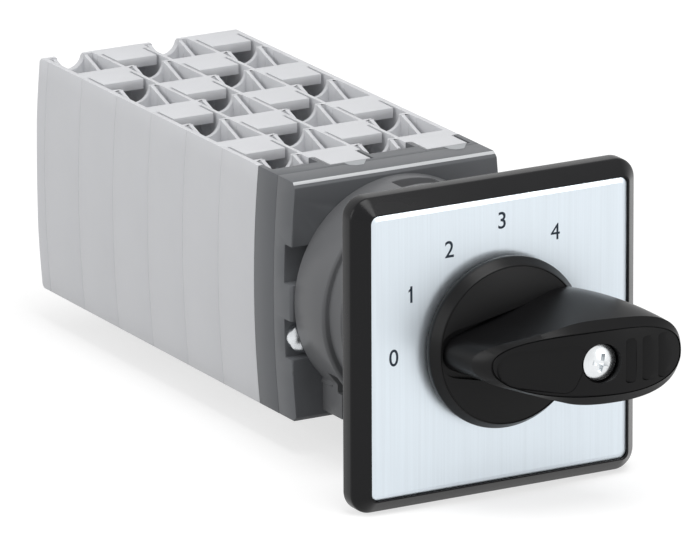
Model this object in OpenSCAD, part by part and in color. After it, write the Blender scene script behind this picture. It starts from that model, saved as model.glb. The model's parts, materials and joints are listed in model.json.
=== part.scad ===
// Five-position rotary cam switch for panel mounting, six contact stages.
// The origin is where the shaft axis crosses the panel face, +Y runs back into the cabinet,
// +Z is up, and the handle is in front of the panel at -Y. Millimetres.

/* [Panel front] */
// Width and height of the square bezel frame
bezel_w = 60; // [56:1:72]
// Depth of the bezel frame in front of the panel
bezel_d = 6.2; // [5.8:0.1:8]
// Corner radius of the bezel frame
bezel_corner = 4; // [3:0.5:6]
// Width of the frame that shows round the legend plate
frame_border = 3; // [2.5:0.5:5]
// Thickness of the legend plate
legend_t = 1; // [0.6:0.1:1.4]

/* [Handle] */
// Radius of the handle's round base
disc_r = 16.3; // [15:0.1:20]
// Thickness of the handle's round base
disc_t = 4.6; // [4.2:0.1:6]
// How far the handle's crown stands in front of the panel
handle_d = 29.5; // [27:0.5:34]
// Distance from the shaft axis to the pointer's nose on the crown
pointer_reach = 12.2; // [11:0.1:13]
// Distance from the shaft axis to the far end of the grip
grip_reach = 25.5; // [23:0.1:30]
// Half width of the grip at its widest place
grip_half_w = 7.4; // [6.5:0.1:9]
// Distance of the grip's widest place from the shaft axis
grip_belly = 10.5; // [9:0.1:12]
// Distance of the handle screw from the shaft axis
handle_screw_x = 8.3; // [6.5:0.1:9]

/* [Panel mount] */
// Radius of the mounting bush, for a round panel hole
bush_r = 11; // [10.5:0.1:13]
// Room for the panel between the bezel and the ring nut
panel_gap = 5; // [4.5:0.5:8]
// Radius of the ring nut
nut_r = 15; // [14:0.5:17]
// Thickness of the ring nut
nut_t = 4; // [3:0.5:6]

/* [Collar] */
// Distance from the panel face to the front of the collar
collar_y = 16.5; // [15:0.5:18]
// Length of the narrow front part of the collar
neck_l = 4.9; // [3:0.1:7]
// Length of the wide rear part of the collar
ring_l = 10.9; // [9:0.1:13]
// Step from the body's side in to the wide rear part of the collar
ring_inset = 0.7; // [0.3:0.1:1.5]
// Step from the wide rear part in to the narrow front part of the collar
neck_step = 1.4; // [1:0.1:2]

/* [Switch body] */
// Width of the body across its bulged sides
body_w = 45.2; // [44.6:0.2:52]
// How far each side bulges past the top and bottom edges
side_bulge = 1.1; // [0.6:0.1:1.6]
// Height of the body
body_h = 46.3; // [45:0.1:56]
// Length of the front half of the latch housing
latch_front_l = 6.7; // [6.4:0.1:9]
// Length of the rear half of the latch housing
latch_rear_l = 7.5; // [7:0.1:10]
// Length of one contact stage
stage_l = 14; // [13.5:0.1:18]
// Thickness of the rear cover
cover_t = 3.5; // [3:0.1:5]

/* [Terminals] */
// Distance from a stage's front face to its terminal wall
wall_y = 2.8; // [2:0.1:4]
// Thickness of the terminal walls
wall_t = 1; // [0.8:0.1:1.4]
// Thickness of the dividers and of the guide fins
rib_t = 0.8; // [0.6:0.1:1]
// Radius of the round notch in a terminal wall
notch_r = 3; // [2:0.1:3.6]
// Length by which a finger guard reaches over the stage in front
guard_reach = 6; // [4:0.1:6.4]
// Thickness of a finger guard
guard_t = 2; // [1.2:0.1:2.6]
// Height of the terminal floor above the shaft axis
floor_z = 14.4; // [14:0.1:16]

/* [Mechanism] */
// Side of the square drive shaft
shaft_w = 7; // [5.5:0.1:7.6]
// Radius of the cam and star hubs, which run in the walls
hub_r = 7; // [6.8:0.1:7.6]
// Largest radius of a cam
cam_r = 9.6; // [9:0.1:9.8]
// Travel of a contact between open and closed
travel = 1.5; // [0.8:0.1:1.6]
// Thickness of the wall at the front of each stage
web_t = 1.6; // [1.2:0.1:2.4]
// Radius of the star wheel at its valleys
star_r = 10; // [9.2:0.1:10.4]
// Height of the star wheel's peaks above its valleys
star_h = 1; // [0.6:0.1:1.2]
// Radius of the two tie screws
tie_r = 1.5; // [1.2:0.1:1.6]

/* [Hidden] */
$fn = 64;

// Clearances
eps = 0.01;
slip = 0.05;      // radial play of a part that turns or slides
seat = 0.1;       // play of a part that stays put
apart = 0.25;     // gap between a cam or star and what rides on it

// Switch programme
step_a = 30;
positions = 5;
sweep = step_a * (positions - 1);
stages = 6;

// Stations along the shaft
plate_y = -(bezel_d - 0.2);
neck_end_y = collar_y + neck_l;
latch_y = neck_end_y + ring_l;
split_y = latch_y + latch_front_l;
stack_y = split_y + latch_rear_l;
stack_end_y = stack_y + stages * stage_l;
back_y = stack_end_y + cover_t;
disc_y = plate_y - 0.3;
disc_front_y = disc_y - disc_t;

// Body section
half_h = body_h / 2;
edge_w = body_w - 2 * side_bulge;
bulge_r = (half_h * half_h + side_bulge * side_bulge) / (2 * side_bulge);
side_wall = 1.1;
column_w = (edge_w / 2 - side_wall + rib_t / 2) / 2;
outer_x = 1.5 * column_w;
inner_x = 0.5 * column_w;
guard_play = 0.5;
fin_slope = 0.345;
latch_well_l = 3.5;

// Tie screws and their nuts
tie_inset = 3.2;
tie_x = body_w / 2 - tie_inset;
tie_z = 7.2;
tie_head_r = 2.8;
tie_head_t = 2.4;
tie_head_dome = 4.5;
insert_r = 2.3;
insert_l = 2;
notch_h = 7.4;
notch_d = 2.6;

// Contact chamber in a stage
chamber_wall = 0.6;
chamber_x = tie_x - tie_r - seat - chamber_wall;
roof_t = 2.2;
chamber_z = floor_z - roof_t;
cam_room = 0.7;
chamber_r = cam_r + cam_room;
roof_w = 10;
guide_t = 1.6;
pocket_wall = 2;
pocket_x = body_w / 2 - pocket_wall;
cam_t = 6;
cam_rise_end = 168;
cam_mid = web_t + (stage_l - web_t) / 2;

// Plunger and bridge, as distances from the shaft axis when the contact is open.
// Plunger and spring share the room between the cam and the wall of the spring's pocket.
nose_r = 1.2;
tip_x = cam_r + apart;
plunger_room = pocket_x - tip_x;
shoulder_share = 0.2;
bridge_share = 0.33;
spring_share = 0.42;
plunger_z = 3.3;
shoulder_x = tip_x + shoulder_share * plunger_room;
bridge_x = tip_x + bridge_share * plunger_room;
bridge_t = 1.2;
bridge_w = 4;
bridge_play = 0.8;
bridge_z = chamber_z - bridge_play;
rivet_r = 1.6;
rivet_t = 0.6;
rivet_edge = 0.6;
rivet_z = bridge_z - rivet_r - rivet_edge;
plunger_end_x = pocket_x - spring_share * plunger_room;
spring_r = 2.2;
wire_r = 0.35;
spring_turns = 4;
spigot_r = spring_r - 3 * wire_r - seat;

// Fixed contacts and terminals
strip_t = 1;
contact_face_x = bridge_x - rivet_t - travel - slip;
strip_x = contact_face_x - rivet_t - strip_t;
terminal_w = 5;
terminal_y = wall_y + wall_t + terminal_w / 2 + 2 * seat;
screw_r = 1.5;
screw_head_r = 2.6;
screw_head_t = 2;
saddle_t = 0.8;
saddle_w = 5.8;
screw_well = 0.8;

// Rear cover
cover_break = 0.6;
cover_plate_t = 1.5;
shaft_end_play = 0.4;
shaft_end_y = stack_end_y + 1.6;
shaft_trim = 1.3;

// Latch
latch_wall = 2.5;
star_room = 0.6;
star_t = 5;
star_gap = 1.2;
star_y = latch_y + latch_wall + star_gap;
stop_lift = 0.5;
stop_y = star_y + star_t + stop_lift;
stop_t = 2;
stop_h = 4;
stop_r = star_r + star_h + stop_h;
stop_a = 150;
stop_half_a = 9;
slider_z = 4;
slider_nose_r = 1.2;
slider_x = star_r + star_h + 3 * slip;
slider_l = (1 - spring_share) * (pocket_x - slider_x);
slider_shoulder = 3;
stop_gap = 0.2;
spigot_l = 1.2;
detent_spring_r = 2;
detent_spigot_r = detent_spring_r - 3 * wire_r - seat;

// Collar and the screws that hold it to the latch
adapter_r = 1.5;
adapter_head_r = 2.8;
adapter_head_t = 2;
adapter_head_gap = 1.4;
ring_wall = 3.2;
collar_wall = 2.5;
neck_break = 0.8;
ring_break = 0.5;
ring_r = body_w / 2 - ring_inset;
neck_r = ring_r - neck_step;
adapter_z = ring_r - ring_wall - adapter_head_gap - adapter_head_r;
catch_a = 48;
catch_l = 4;
catch_w = 3.2;
slot_inset = 3.4;
slot_left = 3;
slot_w = 9;
slot_d = 1.6;
foot_left = 16;
foot_w = 4.6;
foot_l = 7.5;
foot_h = 7.4;
foot_z = ring_r - 0.5;
window_z = 16.6;
window_h = 4.2;

// Bezel frame and legend plate
frame_break = 0.45;
frame_slope_l = 2.8;
lip_w = 0.25;
plate_corner = 1.5;

// Front bearing and gasket
gasket_in = 20;
gasket_out = 23;
gasket_t = 1.2;
flange_r = 15;
flange_t = 2.8;
journal_r = 6.1;
bush_tail_l = 2.9;
bush_end_y = collar_y + bush_tail_l;
key_w = 3.2;
key_d = 1.2;
nut_slot_w = 3;
nut_slot_d = 1.4;
journal_end_y = 10;
seal_y = 3;
seal_r = 0.9;

// Handle base: a bevelled rim round a domed face, sunk beside the grip
rim_w = 1.3;
rim_h = 2.2;
rim_taper = 0.6;
dome_h = 0.6;
face_r = disc_r - rim_w - 0.2;
recess_nose_r = 4.1;
recess_end_r = 8.2;
recess_end_x = 12;
recess_d = 1.1;
handle_floor = 0.8;

// Carrier in the handle's base, and the screw that holds the handle on it
carrier_r = 12;
carrier_y = disc_front_y + recess_d + handle_floor + seat;
carrier_t = disc_y - carrier_y - 2 * seat;
handle_screw_r = 1.7;
handle_head_r = 3;
handle_head_t = 2.2;
handle_head_dome = 4.2;
bore_d = 3.2;
handle_head_y = -handle_d + bore_d;
bore_play = 0.75;

// Handle crown: an arc across the front of the grip
crown_r = 42.15;
crown_x = 15.75;
nose_y = crown_r - handle_d - sqrt(pow(crown_r, 2) - pow(crown_x + pointer_reach, 2));
root_gap = 0.4;
root_nose_r = 3.5;
root_end_r = 6.6;
root_end_x = 11.6;
root_edge = 0.2;
border_w = 1.3;
border_drop = 0.35;
face_drop = 0.5;
tail_lean = 0.7;
dimple_r = 3;
dimple_d = 0.4;
dimple_z = 0.8;
panel_nose = 9.6;
panel_nose_r = 3.2;
panel_end = 4.4;
panel_end_r = 3.9;
groove_n = 3;
groove_x = 12.9;
groove_pitch = 3.45;
groove_w = 2.2;
groove_h = 8.5;
groove_d = 0.9;

// Drawing helpers

// Extrude a drawing in the X-Z plane from y0 to y1
module along_y(y0, y1) {
    translate([0, y1, 0]) rotate([90, 0, 0]) linear_extrude(height = y1 - y0) children();
}

// Extrude a drawing in the Y-Z plane over the width x0 to x1
module along_x(x0, x1) {
    translate([x0, 0, 0]) rotate([90, 0, 90]) linear_extrude(height = x1 - x0) children();
}

// Round bar parallel to the shaft
module bar_y(r, y0, y1, x = 0, z = 0) {
    translate([x, y1, z]) rotate([90, 0, 0]) cylinder(r = r, h = y1 - y0);
}

// Round bar across the shaft
module bar_x(r, x0, x1, y = 0, z = 0) {
    translate([x0, y, z]) rotate([0, 90, 0]) cylinder(r = r, h = x1 - x0);
}

// Box between two corners
module block(lo, hi) {
    translate(lo) cube(hi - lo);
}

// Turn a profile, drawn as radius and depth, round the shaft axis
module turned() {
    rotate([-90, 0, 0]) rotate_extrude($fn = 96) children();
}

// Part and its mirror image below the shaft
module above_and_below() {
    children();
    mirror([0, 0, 1]) children();
}

// Part on the right and the same part turned half a turn to the left
module both_sides() {
    children();
    rotate([0, 180, 0]) children();
}

// Place a stage's parts; every second stage is turned half a turn
module in_stage(k) {
    translate([0, stack_y + (k - 1) * stage_l, 0]) rotate([0, (k % 2) * 180 + 180, 0]) children();
}

// Section of the body: flat top and bottom, bulged sides
module body_section() {
    intersection() {
        square([body_w, body_h], center = true);
        translate([bulge_r - body_w / 2, 0]) circle(r = bulge_r, $fn = 720);
        translate([body_w / 2 - bulge_r, 0]) circle(r = bulge_r, $fn = 720);
    }
}

// Square with trimmed corners, for the drive shaft and the holes that fit it
module shaft_section(play = 0) {
    intersection() {
        square(shaft_w + 2 * play, center = true);
        rotate(45) square(shaft_w * shaft_trim + 2 * play, center = true);
    }
}

// Closed spring between x0 and x1, drawn as its bellows-shaped envelope
module spring_x(r, x0, x1, turns, y, z = 0) {
    pitch = (x1 - x0) / turns;
    translate([x0, y, z]) rotate([0, 90, 0]) rotate_extrude($fn = 32) polygon(concat(
        [for (i = [0 : turns - 1], j = [0, 1]) [r - wire_r + (1 - j) * wire_r, (i + j / 2) * pitch]],
        [[r, x1 - x0], [r - 2 * wire_r, x1 - x0]],
        [for (i = [turns - 1 : -1 : 0], j = [1, 0])
            [r - 3 * wire_r + (1 - j) * wire_r, (i + j / 2) * pitch]]
    ));
}

// Panel front

// Solid with the bezel's outline, swept from an edge profile
module framed(w, corner, depth) {
    side = w - 2 * corner;
    rotate([90, 0, 0]) {
        translate([-side / 2, -side / 2, 0]) cube([side, side, depth]);
        for (a = [0 : 90 : 270]) rotate(a) translate([side / 2, side / 2, 0]) {
            rotate_extrude(angle = 90) children();
            rotate([90, 0, 0]) linear_extrude(height = side) children();
        }
    }
}

module legend_outline(play = 0) {
    w = bezel_w - 2 * frame_border + 2 * play;
    side = w - 2 * plate_corner;
    square([w, side], center = true);
    square([side, w], center = true);
    for (x = [-1, 1], z = [-1, 1]) translate([x, z] * side / 2) circle(r = plate_corner);
}

module bezel_frame() {
    lip = bezel_corner - frame_border + seat + lip_w;
    color([0.09, 0.09, 0.1]) difference() {
        framed(bezel_w, bezel_corner, bezel_d) polygon([
            [0, 0], [bezel_corner - frame_break, 0], [bezel_corner, frame_break],
            [bezel_corner, bezel_d - frame_slope_l],
            [lip, bezel_d], [0, bezel_d]
        ]);
        along_y(-bezel_d - eps, plate_y + legend_t) legend_outline(seat);
        bar_y(journal_r + 0.6, -bezel_d, eps);
        bar_y(flange_r + seat, -flange_t - seat, eps);
        difference() {
            bar_y(gasket_out + seat, -gasket_t, eps);
            bar_y(gasket_in - seat, -bezel_d, 1);
        }
    }
}

module legend_plate() {
    color([0.87, 0.91, 0.94]) difference() {
        along_y(plate_y, plate_y + legend_t) legend_outline();
        bar_y(journal_r + 0.6, plate_y - 1, plate_y + legend_t + 1);
    }
}

module panel_gasket() {
    color([0.16, 0.16, 0.17]) difference() {
        bar_y(gasket_out, -gasket_t, 0);
        bar_y(gasket_in, -gasket_t - 1, 1);
    }
}

// Panel mount

module mounting_bush() {
    color([0.2, 0.2, 0.21]) difference() {
        union() {
            bar_y(flange_r, -flange_t, -0.2);
            bar_y(bush_r, -flange_t, bush_end_y);
        }
        bar_y(journal_r + slip, -flange_t - 1, bush_end_y + 1);
        // Keyway that stops the switch turning in its hole
        block([-key_w / 2, key_d / 3, -bush_r - 1], [key_w / 2, panel_gap + nut_t, key_d - bush_r]);
    }
}

module ring_nut() {
    y0 = panel_gap;
    color([0.3, 0.3, 0.31]) difference() {
        bar_y(nut_r, y0, y0 + nut_t);
        bar_y(bush_r + slip, y0 - 1, y0 + nut_t + 1);
        for (a = [0 : 45 : 315]) rotate([0, a, 0])
            block([nut_r - nut_slot_d, y0 - 1, -nut_slot_w / 2], [nut_r + 1, y0 + nut_t + 1, nut_slot_w / 2]);
    }
}

// Collar

module collar_adapter() {
    color([0.32, 0.33, 0.34]) difference() {
        union() {
            turned() polygon([
                [bush_r + slip, collar_y], [neck_r - neck_break, collar_y],
                [neck_r, collar_y + neck_break], [neck_r, neck_end_y],
                [ring_r - ring_break, neck_end_y], [ring_r, neck_end_y + ring_break],
                [ring_r, latch_y], [bush_r + slip, latch_y]
            ]);
            // Foot of the release lever, low on the left
            block([-foot_left, latch_y - foot_l, -foot_z], [foot_w - foot_left, latch_y, foot_h - foot_z]);
            // Catch on the shoulder, high on the left
            rotate([0, -catch_a, 0]) block([-ring_r - ring_inset, latch_y - catch_l, -catch_w / 2],
                [ring_wall / 2 - ring_r, latch_y, catch_w / 2]);
        }
        // Hollow for the bush's rear end and the screws
        bar_y(ring_r - ring_wall, bush_end_y, latch_y - collar_wall);
        bar_y(hub_r + 1.5, latch_y - collar_wall - 1, latch_y + 1);
        for (z = [-1, 1]) bar_y(adapter_r + seat, latch_y - collar_wall - 1, latch_y + 1, 0, z * adapter_z);
        // Slot of the release catch, on top
        block([-slot_left, neck_end_y + slot_inset, ring_r - slot_d],
            [slot_w - slot_left, latch_y - slot_inset, ring_r + 1]);
        // Window beside the lever's foot
        block([-ring_r, neck_end_y + slot_inset / 2, -window_z],
            [-foot_left + slot_inset, latch_y - foot_l + slot_inset / 2, window_h - window_z]);
    }
}

module adapter_screws() {
    color([0.78, 0.79, 0.8]) for (z = [-1, 1]) {
        bar_y(adapter_r, latch_y - collar_wall, latch_y + latch_wall - 4 * seat, 0, z * adapter_z);
        bar_y(adapter_head_r, latch_y - collar_wall - adapter_head_t, latch_y - collar_wall,
            0, z * adapter_z);
    }
}

// Latch

// Body length from y0 to y1 with its front edges or rear edges broken
module body_block(y0, y1, front = 0, back = 0) {
    intersection() {
        along_y(y0, y1) body_section();
        along_x(-body_w, body_w) polygon([
            [y0, front - half_h], [y0, half_h - front], [y0 + front, half_h],
            [y1 - back, half_h], [y1, half_h - back], [y1, back - half_h],
            [y1 - back, -half_h], [y0 + front, -half_h]
        ]);
        translate([0, 0, -half_h]) linear_extrude(height = body_h) polygon([
            [front / 2 - body_w / 2, y0], [body_w / 2 - front / 2, y0], [body_w / 2, y0 + front / 2],
            [body_w / 2, y1 - back / 2], [body_w / 2 - back / 2, y1], [back / 2 - body_w / 2, y1],
            [-body_w / 2, y1 - back / 2], [-body_w / 2, y0 + front / 2]
        ]);
    }
}

// Channel for the detent sliders and their springs, both sides
module detent_channel(y0, y1) {
    block([-pocket_x, y0, -slider_z - slip], [pocket_x, y1, slider_z + slip]);
}

module tie_holes(y0, y1) {
    both_sides() bar_y(tie_r + seat, y0 - 1, y1 + 1, tie_x, tie_z);
}

module latch_housing() {
    color([0.31, 0.32, 0.33]) difference() {
        body_block(latch_y, split_y, front = 1);
        bar_y(hub_r + slip, latch_y - 1, split_y);
        bar_y(star_r + star_h + star_room, latch_y + latch_wall, split_y + 1);
        detent_channel(star_y - slip, split_y + 1);
        tie_holes(latch_y, split_y);
        for (z = [-1, 1]) bar_y(adapter_r, latch_y - 1, latch_y + latch_wall, 0, z * adapter_z);
        // Four notches in the front edges, two of them over the tie screws
        both_sides() above_and_below() block(
            [tie_x - tie_head_r - seat, latch_y - 1, tie_z - notch_h / 2],
            [body_w, latch_y + notch_d, tie_z + notch_h / 2]);
    }
}

// Drawing of a ring sector from angle a0 to a1
module sector(r, a0, a1) {
    intersection() {
        circle(r = r);
        polygon(concat([[0, 0]], [for (i = [0 : 6]) let (a = a0 + i * (a1 - a0) / 6)
            2 * r * [cos(a), sin(a)]]));
    }
}

module latch_cover() {
    color([0.29, 0.3, 0.31]) difference() {
        body_block(split_y, stack_y);
        bar_y(hub_r + slip, split_y, stack_y + 1);
        bar_y(star_r + star_h + star_room, split_y - 1, stop_y + stop_t + stop_gap);
        detent_channel(split_y - 1, star_y + star_t + slip);
        tie_holes(split_y, stack_y);
        // Travel of the stop tab
        along_y(stop_y - stop_gap, stop_y + stop_t + stop_gap)
            sector(stop_r + 0.4, stop_a - sweep - stop_half_a - 1, stop_a + stop_half_a + 1);
        above_and_below() {
            for (x = [-inner_x, outer_x]) block(
                [x - column_w / 2 + rib_t / 2, stack_y - guard_reach - 0.3, half_h - guard_t - seat],
                [x + column_w / 2 - rib_t / 2, stack_y + 1, half_h + 1]);
            for (x = [inner_x, -outer_x]) block(
                [x - column_w / 2 + rib_t / 2, stack_y - latch_well_l, floor_z],
                [x + column_w / 2 - rib_t / 2, stack_y + 1, half_h + 1]);
        }
    }
}

module detent_star() {
    color([0.86, 0.85, 0.78]) difference() {
        union() {
            bar_y(hub_r, latch_y, stack_y);
            along_y(star_y + slip, star_y + star_t - slip) polygon([for (a = [0 : 2.5 : 357.5])
                (star_r + star_h * (1 - cos(360 / step_a * a)) / 2) * [cos(a), sin(a)]]);
            along_y(stop_y, stop_y + stop_t)
                sector(stop_r, stop_a - stop_half_a, stop_a + stop_half_a);
        }
        along_y(latch_y - 1, stack_y + 1) shaft_section(slip);
    }
}

module detent_slider() {
    end_x = slider_x + slider_l;
    color([0.92, 0.92, 0.9]) {
        along_y(star_y + slip, star_y + star_t - slip) {
            translate([slider_x + slider_nose_r, 0]) circle(r = slider_nose_r);
            polygon([
                [slider_x + slider_nose_r, -slider_nose_r], [slider_x + slider_shoulder, -slider_z],
                [end_x, -slider_z], [end_x, slider_z], [slider_x + slider_shoulder, slider_z],
                [slider_x + slider_nose_r, slider_nose_r]
            ]);
        }
        bar_x(detent_spigot_r, end_x - eps, end_x + spigot_l, star_y + star_t / 2);
    }
}

module detent_springs() {
    color([0.72, 0.73, 0.75]) both_sides()
        spring_x(detent_spring_r, slider_x + slider_l, pocket_x, spring_turns, star_y + star_t / 2);
}

// Contact stages

// Dividers, terminal wall, guide fins and finger guards above one stage, seen as stage 2
module terminal_field(y1) {
    wall_end = wall_y + wall_t;
    difference() {
        union() {
            for (x = [-1 : 1]) block([x * column_w - rib_t / 2, 0, floor_z - eps],
                [x * column_w + rib_t / 2, y1, half_h]);
            block([-edge_w / 2 + 0.2, wall_y, floor_z - eps], [edge_w / 2 - 0.2, wall_end, half_h]);
            // Fins that lead to this stage's notches
            for (x = [inner_x, -outer_x], s = [-1, 1]) along_x_at(x + s * (notch_r + rib_t / 2))
                polygon([[0, floor_z - eps], [wall_y + eps, floor_z - eps], [wall_y + eps, half_h],
                    [0, half_h - fin_slope * wall_y]]);
            // Fins that lead to the next stage's notches
            for (x = [-inner_x, outer_x], s = [-1, 1])
                along_x_at(x + s * (notch_r + rib_t / 2)) polygon([
                    [wall_end - eps, floor_z - eps], [y1, floor_z - eps],
                    [y1, half_h - fin_slope * wall_y],
                    [wall_end - eps, half_h - fin_slope * (wall_y + y1 - wall_end)]]);
            // Finger guards, which reach over the stage in front
            for (x = [-inner_x, outer_x]) {
                block([x - column_w / 2, 0, half_h - guard_t], [x + column_w / 2, wall_end, half_h]);
                block([x - column_w / 2 + rib_t / 2 + guard_play, -guard_reach, half_h - guard_t],
                    [x + column_w / 2 - rib_t / 2 - guard_play, eps, half_h]);
            }
        }
        for (x = [inner_x, -outer_x]) bar_y(notch_r, wall_y - 1, wall_end + 1, x, half_h);
    }
}

// Fin of the ribs' thickness, centred on x
module along_x_at(x) {
    along_x(x - rib_t / 2, x + rib_t / 2) children();
}

// Side walls outside the terminal columns
module side_walls(y0, y1) {
    difference() {
        along_y(y0, y1) body_section();
        block([side_wall - edge_w / 2, y0 - 1, -body_h], [edge_w / 2 - side_wall, y1 + 1, body_h]);
    }
}

// Slots for the fixed contact strips and pockets for their terminal plates
module contact_seats() {
    y0 = terminal_y - terminal_w / 2 - slip;
    y1 = terminal_y + terminal_w / 2 + slip;
    half_strip = bridge_w / 2 + slip;
    above_and_below() {
        for (s = [-1, 1]) block(
            [s * (strip_x + strip_t / 2) - strip_t / 2 - slip, cam_mid - half_strip, chamber_z - 1],
            [s * (strip_x + strip_t / 2) + strip_t / 2 + slip, cam_mid + half_strip, floor_z + eps]);
        block([inner_x - saddle_w / 2 - slip, y0, floor_z - strip_t],
            [strip_x + strip_t, y1, floor_z + eps]);
        block([-outer_x - saddle_w / 2 - slip, y0, floor_z - strip_t],
            [-strip_x, y1, floor_z + eps]);
        for (x = [inner_x, -outer_x])
            translate([x, terminal_y, floor_z - strip_t - screw_well])
                cylinder(r = screw_r + seat, h = screw_well + strip_t);
    }
}

// One insulating wafer, open at its back
module wafer(k) {
    color([0.84, 0.86, 0.87]) in_stage(k) difference() {
        union() {
            intersection() {
                along_y(0, stage_l) body_section();
                block([-body_w, 0, -floor_z], [body_w, stage_l, floor_z]);
            }
            side_walls(0, stage_l);
            above_and_below() terminal_field(stage_l);
        }
        bar_y(hub_r + slip, -1, stage_l + 1);
        bar_y(chamber_r, web_t, stage_l + 1);
        difference() {
            block([-chamber_x, web_t, -chamber_z], [chamber_x, stage_l + 1, chamber_z]);
            // Ribs that guide the plungers
            both_sides() above_and_below() block(
                [chamber_r - 0.1, 0, plunger_z + slip],
                [bridge_x - travel - 0.3, stage_l, plunger_z + slip + guide_t]);
            // Thick roof and floor between the two contact sides
            above_and_below() block([-roof_w / 2, 0, chamber_r + 0.4],
                [roof_w / 2, stage_l, chamber_z + eps]);
        }
        both_sides() bar_x(spring_r + 0.3, chamber_x - 1, pocket_x, cam_mid);
        tie_holes(0, stage_l);
        contact_seats();
    }
}

// Radius of a cam at angle a: it falls over the switch's travel and rises again behind it
function cam_radius(a) = let (p = a % 180) p < sweep ? cam_r - travel * p / sweep
    : p < cam_rise_end ? cam_r - travel * (cam_rise_end - p) / (cam_rise_end - sweep) : cam_r;

module cam(k) {
    y0 = stack_y + (k - 1) * stage_l;
    color([0.78, 0.2, 0.16]) difference() {
        union() {
            bar_y(hub_r, y0, y0 + stage_l);
            along_y(y0 + cam_mid - cam_t / 2, y0 + cam_mid + cam_t / 2)
                polygon([for (a = [0 : 3 : 357]) cam_radius(a) * [cos(a), sin(a)]]);
        }
        along_y(y0 - 1, y0 + stage_l + 1) shaft_section(slip);
    }
}

// Plunger on the right: a nose towards the cam, a window for the bridge and a spigot
module plunger_shape() {
    color([0.93, 0.93, 0.9]) difference() {
        union() {
            along_y(web_t + seat, stage_l - seat) {
                translate([tip_x + nose_r, 0]) circle(r = nose_r);
                polygon([
                    [tip_x + nose_r, -nose_r], [shoulder_x, -plunger_z], [plunger_end_x, -plunger_z],
                    [plunger_end_x, plunger_z], [shoulder_x, plunger_z], [tip_x + nose_r, nose_r]
                ]);
            }
            bar_x(spigot_r, plunger_end_x - eps, plunger_end_x + spigot_l, cam_mid);
        }
        block([bridge_x, cam_mid - bridge_w / 2, -plunger_z - 1],
            [bridge_x + bridge_t, cam_mid + bridge_w / 2, plunger_z + 1]);
    }
}

// Moving contact bridge with its two rivets
module bridge_shape() {
    y0 = cam_mid - bridge_w / 2;
    color([0.8, 0.52, 0.3]) {
        block([bridge_x, y0, -bridge_z], [bridge_x + bridge_t, y0 + bridge_w, bridge_z]);
        for (z = [-1, 1]) bar_x(rivet_r, bridge_x - rivet_t, bridge_x + eps, cam_mid, z * rivet_z);
    }
}

// Side is 1 on the right and -1 on the left
module in_stage_side(k, side) {
    translate([0, stack_y + (k - 1) * stage_l, 0]) rotate([0, side > 0 ? 0 : 180, 0]) children();
}

// Fixed contact: rivet, strip and terminal plate that ends at x_end
module fixed_contact(x_end) {
    y0 = cam_mid - bridge_w / 2;
    bar_x(rivet_r, contact_face_x - rivet_t, contact_face_x, cam_mid, rivet_z);
    block([strip_x, y0, rivet_z - rivet_r], [strip_x + strip_t, y0 + bridge_w, floor_z]);
    block([min(x_end, strip_x), terminal_y - terminal_w / 2, floor_z - strip_t],
        [max(x_end, strip_x + strip_t), terminal_y + terminal_w / 2, floor_z]);
}

module fixed_contacts() {
    color([0.83, 0.66, 0.36]) for (k = [1 : stages]) in_stage(k) above_and_below() {
        fixed_contact(inner_x - saddle_w / 2);
        mirror([1, 0, 0]) fixed_contact(outer_x + saddle_w / 2);
    }
}

module terminal_screws() {
    color([0.78, 0.8, 0.82]) for (k = [1 : stages]) in_stage(k) above_and_below()
        for (x = [inner_x, -outer_x]) translate([x, terminal_y, floor_z]) {
            translate([-saddle_w / 2, -terminal_w / 2, 0]) cube([saddle_w, terminal_w, saddle_t]);
            cylinder(r = screw_head_r, h = saddle_t + screw_head_t);
        }
}

module contact_springs() {
    color([0.72, 0.73, 0.75]) for (k = [1 : stages]) both_sides()
        spring_x(spring_r, plunger_end_x, pocket_x, spring_turns,
            stack_y + (k - 1) * stage_l + cam_mid);
}

// Rear end and tie screws

module rear_cover() {
    color([0.84, 0.86, 0.87]) difference() {
        union() {
            intersection() {
                body_block(stack_end_y, back_y, back = cover_break);
                union() {
                    block([-body_w, stack_end_y, -floor_z], [body_w, back_y, floor_z]);
                    side_walls(stack_end_y, back_y);
                    block([-body_w, back_y - cover_plate_t, -body_h], [body_w, back_y, body_h]);
                }
            }
            translate([0, stack_end_y, 0]) intersection() {
                above_and_below() rear_field();
                block([-body_w, -body_h, -half_h], [body_w, cover_t - cover_break, half_h]);
            }
        }
        above_and_below() for (x = [inner_x, -outer_x])
            bar_y(notch_r, stack_end_y - 1, back_y + 1, x, half_h);
        tie_holes(stack_end_y, back_y);
        both_sides() bar_y(insert_r + seat / 2, back_y - insert_l, back_y + 1, tie_x, tie_z);
        bar_y(shaft_w * 0.75, stack_end_y - 1, shaft_end_y + shaft_end_play);
    }
}

// Dividers, fins and finger guards on the rear cover
module rear_field() {
    y1 = cover_t - cover_break;
    for (x = [-1 : 1]) block([x * column_w - rib_t / 2, 0, floor_z - eps],
        [x * column_w + rib_t / 2, y1, half_h]);
    for (x = [inner_x, -outer_x], s = [-1, 1]) along_x_at(x + s * (notch_r + rib_t / 2))
        polygon([[0, floor_z - eps], [y1, floor_z - eps], [y1, half_h], [0, half_h - fin_slope * y1]]);
    for (x = [-inner_x, outer_x]) {
        block([x - column_w / 2, 0, half_h - guard_t], [x + column_w / 2, y1, half_h]);
        block([x - column_w / 2 + rib_t / 2 + guard_play, -guard_reach, half_h - guard_t],
            [x + column_w / 2 - rib_t / 2 - guard_play, eps, half_h]);
    }
}

module tie_screws() {
    seat_y = latch_y + notch_d;
    color([0.8, 0.81, 0.82]) both_sides() {
        bar_y(tie_r, seat_y - eps, back_y - 0.5, tie_x, tie_z);
        translate([tie_x, seat_y, tie_z]) rotate([90, 0, 0]) rotate_extrude() intersection() {
            square([tie_head_r, tie_head_t]);
            translate([0, tie_head_t - tie_head_dome]) circle(r = tie_head_dome);
        }
    }
}

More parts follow.
